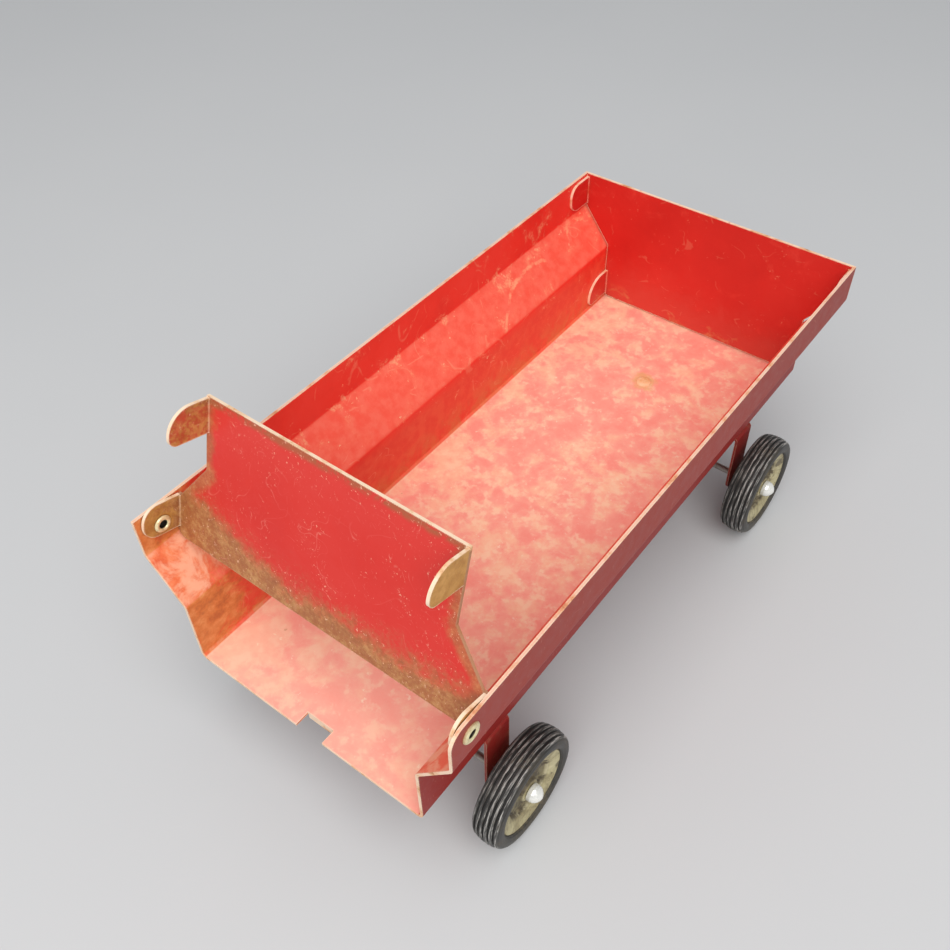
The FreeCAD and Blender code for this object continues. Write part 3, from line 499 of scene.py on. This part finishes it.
def disc_material(name, centre, s):
    m = Mat(name)
    P = m.mm(centre)
    x, y, z = m.xyz(P)
    r = m.math("SQRT", m.add(m.mul(x, x), m.mul(z, z)))
    n1 = m.noise(P, 0.15, 5, 0.64, distort=0.4, seed=3.0 + s)
    n2 = m.noise(P, 0.8, 5, 0.65, seed=6.0 + s)
    cream = m.ramp(m.mix(0.35, n1, n2), [(0.34, (0.20, 0.155, 0.080)), (0.44, (0.36, 0.30, 0.160)), (0.54, (0.54, 0.475, 0.265)), (0.72, (0.72, 0.65, 0.41))])
    dark = m.ramp(n2, [(0.35, (0.060, 0.045, 0.028)), (0.65, (0.170, 0.135, 0.078))])
    recess = m.mul(m.step(r, 10.4, 9.3), m.step(r, 3.2, 3.9))
    worn = m.step(m.add(n1, m.mul(m.sub(n2, 0.5), 0.35)), 0.56, 0.46)
    col = m.mix(m.mul(recess, m.add(0.74, m.mul(worn, 0.24))), cream, dark)
    patch = m.mul(m.step(m.noise(P, 0.11, 4, 0.6, seed=21.0 + s), 0.54, 0.60), m.step(r, 9.0, 9.8))
    col = m.mix(m.mul(patch, 0.80), col, (0.115, 0.088, 0.048))
    chips = m.mul(m.step(m.noise(P, 0.52, 7, 0.75, seed=14.0 + s), 0.60, 0.64), m.step(r, 5.0, 7.0))
    col = m.mix(m.mul(chips, 0.95), col, (0.014, 0.012, 0.010))
    lip = m.step(m.math("ABSOLUTE", m.sub(r, 14.2)), 0.40, 0.0)
    col = m.mix(m.mul(lip, 0.7), col, (0.04, 0.034, 0.026))
    # painted highlight along the inner edge of the cream ring
    step_highlight = m.mul(m.step(m.math("ABSOLUTE", m.sub(r, 9.55)), 0.55, 0.10), m.step(n1, 0.44, 0.56))
    col = m.mix(m.mul(step_highlight, 0.6), col, (0.74, 0.66, 0.42))
    rust = m.mul(m.step(n2, 0.58, 0.72), m.step(n1, 0.55, 0.42))
    col = m.mix(m.mul(rust, 0.55), col, (0.26, 0.12, 0.05))
    nrm = m.bump(n1, 0.25, 0.0004)
    nrm = m.bump(n2, 0.25, 0.0001, nrm)
    nrm = m.bump(m.sub(1.0, chips), 0.6, 0.00015, nrm)
    return m.done(col, m.add(0.34, m.mul(n2, 0.35)), nrm, Specular_IOR_Level=0.45)


def metal_material(name, base, dark, rough, amount=0.5, scale=0.6, shine=1.0):
    m = Mat(name)
    P = m.mm((0, 0, 0))
    n1 = m.noise(P, scale, 5, 0.65, seed=2.0)
    n2 = m.noise(P, scale * 4, 4, 0.6, seed=4.0)
    tarnish = m.mul(m.step(n1, 0.48, 0.68), amount)
    col = m.mix(tarnish, base, dark)
    r = m.add(rough, m.mul(tarnish, 0.45))
    metallic = m.mul(m.sub(1.0, m.mul(tarnish, 0.7)), shine)
    nrm = m.bump(n2, 0.12, 0.0001)
    return m.done(col, r, nrm, metallic=metallic)


def rivet_material():
    m, P, big, small, fine, edge, corner_shade = red_paint("rivet_paint")
    col = m.ramp(small, [(0.35, (0.70, 0.36, 0.13)), (0.50, (0.88, 0.50, 0.25)), (0.66, (0.96, 0.62, 0.38))])
    return finish_paint(m, P, col, small, fine, edge, corner_shade, corner_shade_amount=0.5, edge_amount=0.4)


MATS = {
    "box_body": box_material(),
    "front_panel": panel_material(),
    "tailgate": gate_material(),
}
chassis = chassis_material()
for n in ("rear_bolster", "front_bolster", "tongue"):
    MATS[n] = chassis
def eyelet_material(base):
    """Pale gold with a dark bore of painted shade and grime round the rolled lip."""
    m = Mat("eyelet_gold")
    P = m.mm(tuple(PIVOT))
    x, y, z = m.xyz(P)
    r = m.math("SQRT", m.add(m.mul(x, x), m.mul(z, z)))
    n1 = m.noise(P, 0.9, 5, 0.65, seed=2.0)
    col = m.mix(m.mul(m.step(n1, 0.46, 0.66), 0.6), base, (0.46, 0.30, 0.12))
    col = m.mix(m.mul(m.step(r, 2.55, 3.0), 0.45), col, (0.40, 0.17, 0.06))
    # painted shade: the bore near black
    col = m.mix(m.step(r, 1.42, 1.24), col, (0.022, 0.014, 0.009))
    nrm = m.bump(n1, 0.15, 0.0001)
    return m.done(col, m.add(0.22, m.mul(n1, 0.25)), nrm, Metallic=0.45)


brass = eyelet_material((0.95, 0.84, 0.50))
for n in ("gate_eyelet_left", "gate_eyelet_right"):
    MATS[n] = brass
steel = metal_material("dull_steel", (0.42, 0.38, 0.34), (0.16, 0.085, 0.045), 0.42, 0.7, 0.5)
for n in ("rear_axle", "front_axle", "turn_washer", "tongue_pin"):
    MATS[n] = steel
MATS["king_rivet"] = rivet_material()
nickel = metal_material("bright_nickel", (0.97, 0.97, 0.93), (0.62, 0.58, 0.46), 0.20, 0.30, 0.8, 0.35)
k = 0
for end in ("rear", "front"):
    for side in ("left", "right"):
        c = Vector(joint("wheel_%s_%s_spin" % (end, side))["pos_m"])
        tag = "%s_%s" % (end, side)
        MATS["tyre_" + tag] = tyre_material("tyre_rubber_" + tag, c)
        MATS["wheel_disc_" + tag] = disc_material("wheel_paint_" + tag, c, k * 5.0)
        MATS["axle_cap_" + tag] = nickel
        k += 1

for name, obj in frame["nodes"].items():
    mat = MATS[name]
    if not obj.material_slots:
        obj.data.materials.append(mat)
    for s in obj.material_slots:
        s.material = mat

# ------------------------------------------------------------ stage
def floor():
    bm = bmesh.new()
    n = 24
    size = 3.0
    grid = [[bm.verts.new(((i / n - 0.5) * 2 * size, (j / n - 0.5) * 2 * size, 0.0)) for j in range(n + 1)] for i in range(n + 1)]
    for i in range(n):
        for j in range(n):
            bm.faces.new((grid[i][j], grid[i + 1][j], grid[i + 1][j + 1], grid[i][j + 1]))
    me = bpy.data.meshes.new("studio_floor")
    bm.to_mesh(me)
    bm.free()
    ob = bpy.data.objects.new("studio_floor", me)
    bpy.context.scene.collection.objects.link(ob)
    m = Mat("studio_floor")
    nz = m.noise(m.co.outputs["Object"], 6.0, 3, 0.5)
    m.done(m.mix(nz, (0.60, 0.61, 0.62), (0.64, 0.645, 0.65)), 0.75)
    me.materials.append(m.m)


floor()


def area(name, at, look, size, power, colour=(1, 1, 1)):
    d = bpy.data.lights.new(name, "AREA")
    d.shape = "DISK"
    d.size = size
    d.energy = power
    d.color = colour
    o = bpy.data.objects.new(name, d)
    o.location = at
    o.rotation_euler = (Vector(look) - Vector(at)).to_track_quat("-Z", "Y").to_euler()
    bpy.context.scene.collection.objects.link(o)


area("key", (-0.60, -0.40, 1.14), (0, 0, 0.05), 1.5, 17.6, (1.0, 0.985, 0.965))
world = bpy.data.worlds.new("studio")
bpy.context.scene.world = world
world.use_nodes = True
world.node_tree.nodes["Background"].inputs[0].default_value = (0.80, 0.82, 0.85, 1.0)
world.node_tree.nodes["Background"].inputs[1].default_value = 0.48

bpy.context.scene.view_settings.view_transform = "Standard"

# ------------------------------------------------------------ camera
az, el, roll = math.radians(38.52), math.radians(46.33), math.radians(-1.62)
fw = Vector((math.cos(el) * math.cos(az), math.cos(el) * math.sin(az), -math.sin(el)))
r0 = fw.cross(Vector((0, 0, 1))).normalized()
u0 = r0.cross(fw)
r1 = math.cos(roll) * r0 + math.sin(roll) * u0
u1 = -math.sin(roll) * r0 + math.cos(roll) * u0
cam_data = bpy.data.cameras.new("camera")
cam_data.sensor_width = 36.0
cam_data.lens = 1008.1 / 950 * 36.0
cam = bpy.data.objects.new("camera", cam_data)
cam.matrix_world = Matrix((
    (r1.x, u1.x, -fw.x, MID - 0.19125),
    (r1.y, u1.y, -fw.y, -0.12745),
    (r1.z, u1.z, -fw.z, 0.29381),
    (0, 0, 0, 1)))
bpy.context.scene.collection.objects.link(cam)
bpy.context.scene.camera = cam
